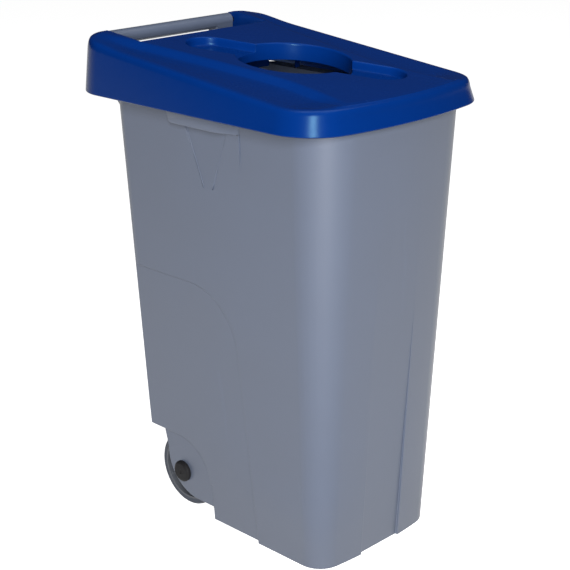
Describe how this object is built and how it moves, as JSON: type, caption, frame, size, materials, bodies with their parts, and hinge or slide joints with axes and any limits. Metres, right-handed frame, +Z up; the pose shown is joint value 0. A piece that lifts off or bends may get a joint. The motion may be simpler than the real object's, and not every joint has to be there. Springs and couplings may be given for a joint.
{
  "type": "wheelie bin",
  "caption": "Tapered plastic bin on rear wheels, with a rear handle and a hinged sloping lid that has a round throat and diagonal troughs.",
  "frame": {"origin": "middle of the bin's footprint on the floor", "axes": "X across the bin, -Y the front, +Y the wheels and handle, +Z up"},
  "size_m": [0.42, 0.57, 0.8291],
  "materials": {
    "grey_plastic": "satin moulded polypropylene, blue-grey",
    "blue_plastic": "satin-gloss moulded polypropylene, royal blue",
    "black_plastic": "moulded nylon",
    "hub_plastic": "moulded polypropylene",
    "tread_rubber": "slate rubber tread",
    "zinc_steel": "zinc-plated steel"
  },
  "bodies": {
    "tub": {"tub": "grey_plastic", "handle_loop": "grey_plastic", "handle_screws": "zinc_steel", "axle": "zinc_steel", "axle_washers_left": "zinc_steel", "axle_washers_right": "zinc_steel", "push_nut_left": "zinc_steel", "push_nut_right": "zinc_steel", "axle_cap_left": "black_plastic", "axle_cap_right": "black_plastic"},
    "lid": {"lid": "blue_plastic", "hinge_pin_left": "black_plastic", "hinge_pin_right": "black_plastic"},
    "wheel_left": {"wheel_hub_left": "hub_plastic", "tread_left": "tread_rubber", "hub_bushes_left": "black_plastic"},
    "wheel_right": {"wheel_hub_right": "hub_plastic", "tread_right": "tread_rubber", "hub_bushes_right": "black_plastic"}
  },
  "joints": [
    {"name": "lid_hinge", "type": "hinge", "parent": "tub", "child": "lid", "pos_m": [0, 0.262, 0.813], "axis": [-1, 0, 0], "range_deg": [0, 250]},
    {"name": "wheel_left_spin", "type": "hinge", "parent": "tub", "child": "wheel_left", "pos_m": [-0.101, 0.115, 0.067], "axis": [1, 0, 0], "continuous": true},
    {"name": "wheel_right_spin", "type": "hinge", "parent": "tub", "child": "wheel_right", "pos_m": [0.101, 0.115, 0.067], "axis": [1, 0, 0], "continuous": true}
  ]
}
